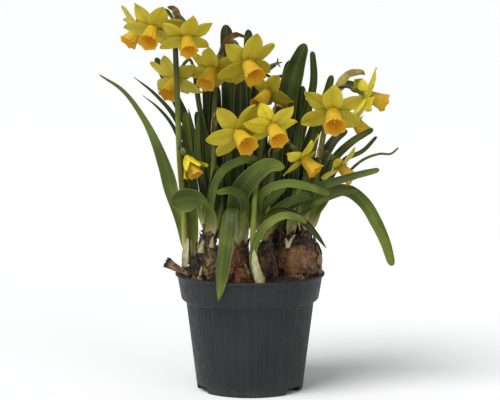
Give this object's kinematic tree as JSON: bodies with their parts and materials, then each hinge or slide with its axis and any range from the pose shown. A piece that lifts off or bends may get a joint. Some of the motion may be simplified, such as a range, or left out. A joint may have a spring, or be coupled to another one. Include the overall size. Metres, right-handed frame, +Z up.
{
  "type": "potted tete-a-tete daffodil",
  "caption": "Clump of dwarf yellow daffodils in flower, with strap leaves and half-buried bulbs, in a round dark nursery pot.",
  "frame": {"origin": "centre of the pot's foot, on the surface it stands on", "axes": "+Z up along the pot's axis; -Y towards the side the plant is seen from; +X to the right"},
  "size_m": [0.2372, 0.1211, 0.3095],
  "materials": {
    "pot": "matt moulded plastic, finely ribbed",
    "soil": "moist crumbly peat compost",
    "sheath": "pale fleshy leaf sheath, satin",
    "stub": "dried fibrous stem",
    "spathe": "dry papery membrane",
    "bulb_tunic": "dry papery bulb skin, wrinkled",
    "green_growth": "living leaf, waxy satin",
    "tepals": "living petal, soft satin",
    "trumpet": "living petal, soft satin"
  },
  "bodies": {
    "root": {"pot": "pot", "soil": "soil", "sheath_front": "sheath", "stub_left": "stub", "spathe_far_left": "spathe", "spathe_back_left": "spathe", "spathe_left_behind": "spathe", "spathe_middle_left": "spathe", "spathe_front": "spathe", "spathe_right": "spathe", "spathe_inner_right": "spathe", "spathe_centre": "spathe", "bulb_far_left": "bulb_tunic", "bulb_middle_left": "bulb_tunic", "bulb_front": "bulb_tunic", "bulb_centre": "bulb_tunic", "bulb_right": "bulb_tunic", "bulb_back_left": "bulb_tunic", "bulb_back_right": "bulb_tunic", "shoot_far_left": "green_growth", "shoot_middle_left": "green_growth", "shoot_front_bulb": "green_growth", "shoot_front": "green_growth", "shoot_centre": "green_growth", "shoot_right": "green_growth", "shoot_inner_right": "green_growth", "shoot_back_left": "green_growth", "shoot_back_right": "green_growth", "tepals_01": "tepals", "trumpet_01": "trumpet", "tepals_02": "tepals", "trumpet_02": "trumpet", "tepals_03": "tepals", "trumpet_03": "trumpet", "tepals_04": "tepals", "trumpet_04": "trumpet", "tepals_05": "tepals", "trumpet_05": "trumpet", "tepals_06": "tepals", "trumpet_06": "trumpet", "tepals_07": "tepals", "trumpet_07": "trumpet", "tepals_08": "tepals", "trumpet_08": "trumpet", "tepals_09": "tepals", "trumpet_09": "trumpet", "tepals_10": "tepals", "trumpet_10": "trumpet", "tepals_11": "tepals", "trumpet_11": "trumpet", "tepals_12": "tepals", "trumpet_12": "trumpet", "tepals_13": "tepals", "trumpet_13": "trumpet", "tepals_14": "tepals", "trumpet_14": "trumpet", "tepals_15": "tepals", "trumpet_15": "trumpet"}
  },
  "joints": []
}
